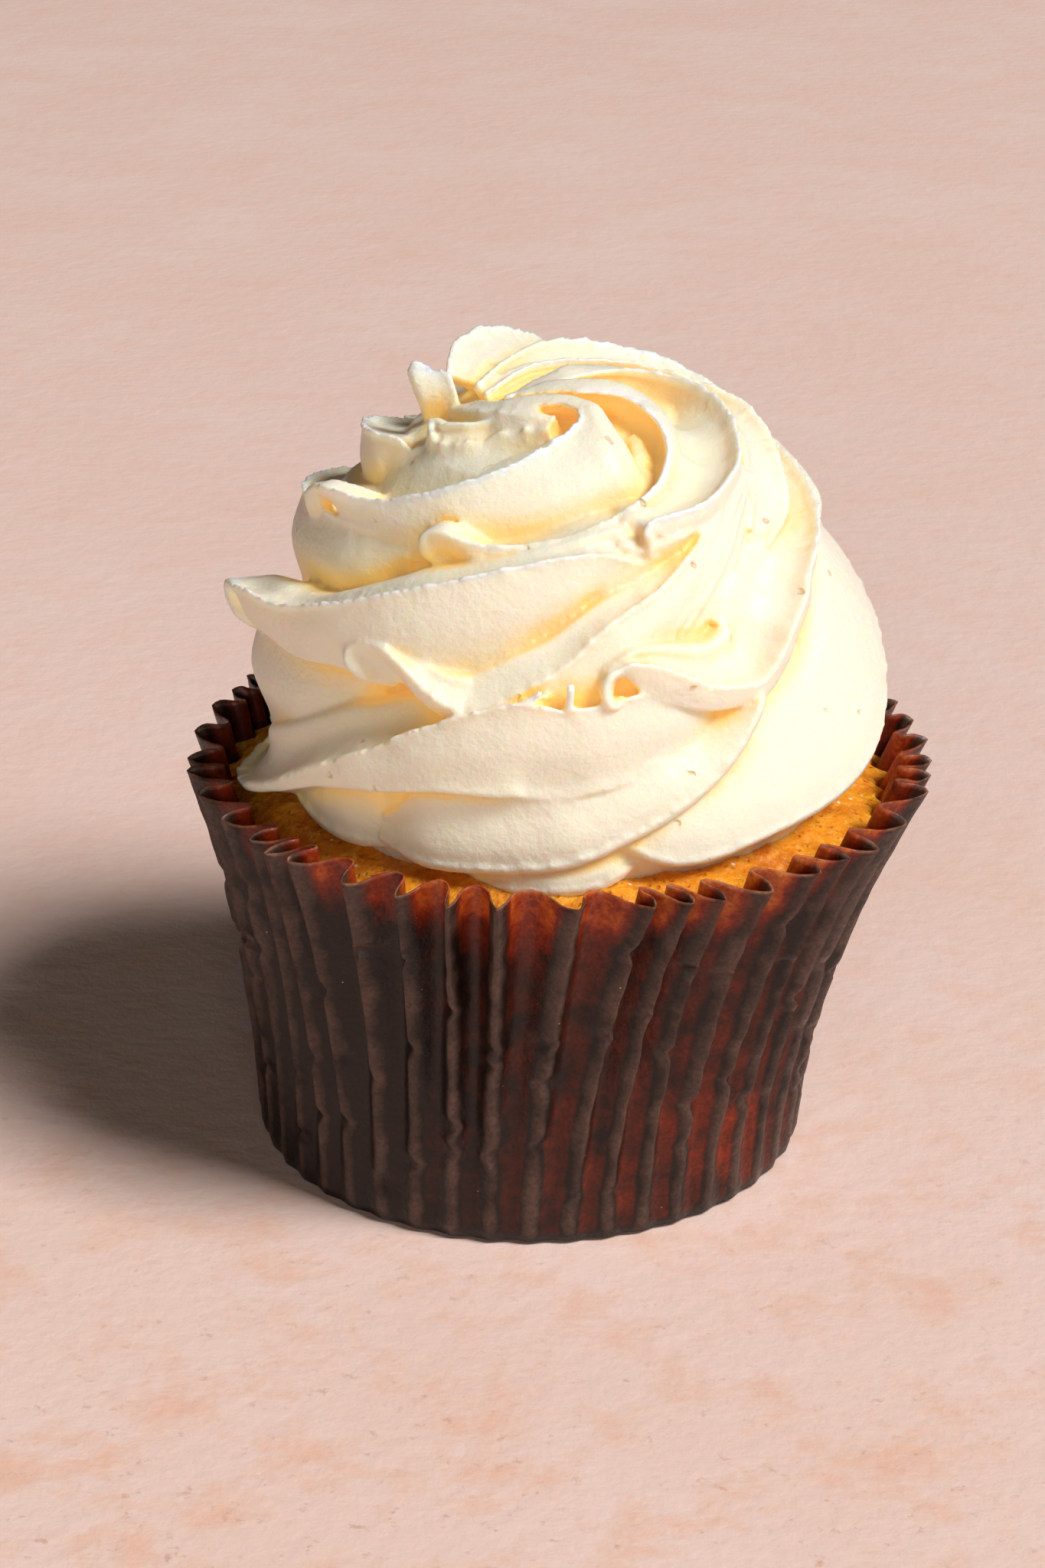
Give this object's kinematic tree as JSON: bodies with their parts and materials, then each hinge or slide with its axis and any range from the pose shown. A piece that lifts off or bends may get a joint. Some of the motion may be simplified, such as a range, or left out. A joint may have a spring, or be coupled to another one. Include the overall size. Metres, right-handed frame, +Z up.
{
  "type": "cupcake",
  "caption": "Golden cupcake in a dark pleated paper case, topped with a tall piped swirl of pale cream.",
  "frame": {"origin": "middle of the flat base of the paper case, where it rests on the table", "axes": "+Z up through the peak of the swirl, -Y the front, +X to the right seen from the front"},
  "size_m": [0.0672, 0.0672, 0.0753],
  "materials": {
    "paper": "satin",
    "crumb": "satin",
    "cream": "satin"
  },
  "bodies": {
    "root": {"paper_case": "paper", "cake": "crumb", "frosting": "cream"}
  },
  "joints": []
}
